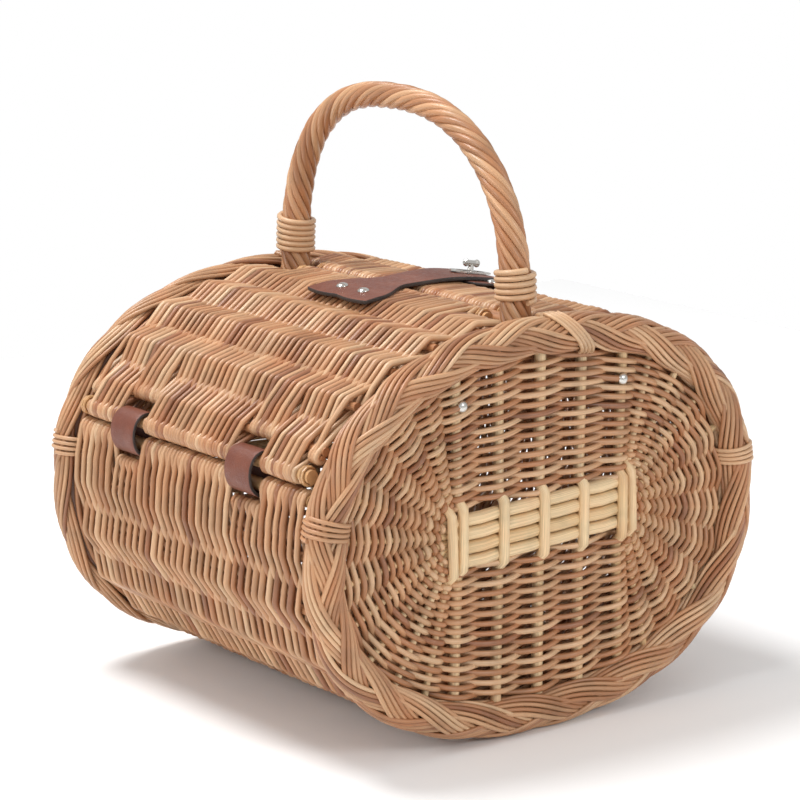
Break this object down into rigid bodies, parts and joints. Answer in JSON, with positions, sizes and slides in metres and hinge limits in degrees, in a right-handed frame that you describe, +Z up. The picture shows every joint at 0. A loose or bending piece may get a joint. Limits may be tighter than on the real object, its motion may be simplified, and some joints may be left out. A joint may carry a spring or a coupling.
{
  "type": "wicker picnic basket",
  "caption": "Barrel-shaped woven willow basket with lids hinged on leather rings, a twisted arched handle and a leather strap that closes with a turn button.",
  "frame": {"origin": "on the ground under the middle of the basket", "axes": "+X along the barrel towards its right end, +Y towards the back lid, +Z up"},
  "size_m": [0.356, 0.4138, 0.4548],
  "materials": {
    "willow": "steamed willow rods, satin",
    "pale_willow": "peeled pale willow, satin",
    "leather": "reddish-brown leather with dark edges",
    "nickel": "polished nickel"
  },
  "bodies": {
    "basket": {"body_shell": "willow", "front_rail_rod": "pale_willow", "back_rail_rod": "pale_willow", "left_border": "willow", "left_border_back_tie": "willow", "left_border_foot_tie": "willow", "left_border_front_tie": "willow", "left_end_panel": "willow", "left_end_slath": "pale_willow", "left_end_front_stud": "nickel", "left_end_back_stud": "nickel", "left_handle_foot_winding": "willow", "right_border": "willow", "right_border_back_tie": "willow", "right_border_foot_tie": "willow", "right_border_front_tie": "willow", "right_end_panel": "willow", "right_end_slath": "pale_willow", "right_end_front_stud": "nickel", "right_end_back_stud": "nickel", "right_handle_foot_winding": "willow", "front_left_hinge_ring": "leather", "front_right_hinge_ring": "leather", "back_left_hinge_ring": "leather", "back_right_hinge_ring": "leather", "handle": "willow"},
    "front_lid": {"front_lid_panel": "willow", "front_lid_hinge_rod": "pale_willow", "front_lid_meeting_rod": "pale_willow", "front_lid_hinge_left_binding": "pale_willow", "front_lid_hinge_right_binding": "pale_willow", "front_lid_meeting_left_binding": "pale_willow", "front_lid_meeting_right_binding": "pale_willow", "lock_strap_root": "leather", "strap_left_rivet": "nickel", "strap_right_rivet": "nickel"},
    "back_lid": {"back_lid_panel": "willow", "back_lid_hinge_rod": "pale_willow", "back_lid_meeting_rod": "pale_willow", "back_lid_hinge_left_binding": "pale_willow", "back_lid_hinge_right_binding": "pale_willow", "back_lid_meeting_left_binding": "pale_willow", "back_lid_meeting_right_binding": "pale_willow", "lock_patch": "leather", "patch_left_rivet": "nickel", "patch_right_rivet": "nickel", "lock_post": "nickel"},
    "lock_strap": {"lock_strap_flap": "leather", "lock_plate": "nickel"},
    "turn_button": {"turn_button": "nickel"}
  },
  "joints": [
    {"name": "front_lid_hinge", "type": "hinge", "parent": "basket", "child": "front_lid", "pos_m": [0, -0.18839, 0.213], "axis": [1, 0, 0], "range_deg": [0, 110]},
    {"name": "back_lid_hinge", "type": "hinge", "parent": "basket", "child": "back_lid", "pos_m": [0, 0.18839, 0.213], "axis": [-1, 0, 0], "range_deg": [0, 85], "deforming": ["lock_strap_flap"]},
    {"name": "strap_fold", "type": "hinge", "parent": "front_lid", "child": "lock_strap", "pos_m": [0, -0.03, 0.30748], "axis": [1, 0, 0], "range_deg": [0, 170]},
    {"name": "turn_button_turn", "type": "hinge", "parent": "back_lid", "child": "turn_button", "pos_m": [0, 0.066, 0.2999], "axis": [0, 0.1795, 0.9838], "range_deg": [0, 90]}
  ],
  "couplings": [
    {"joint": "strap_fold", "follows": "back_lid_hinge", "ratio": 2}
  ]
}
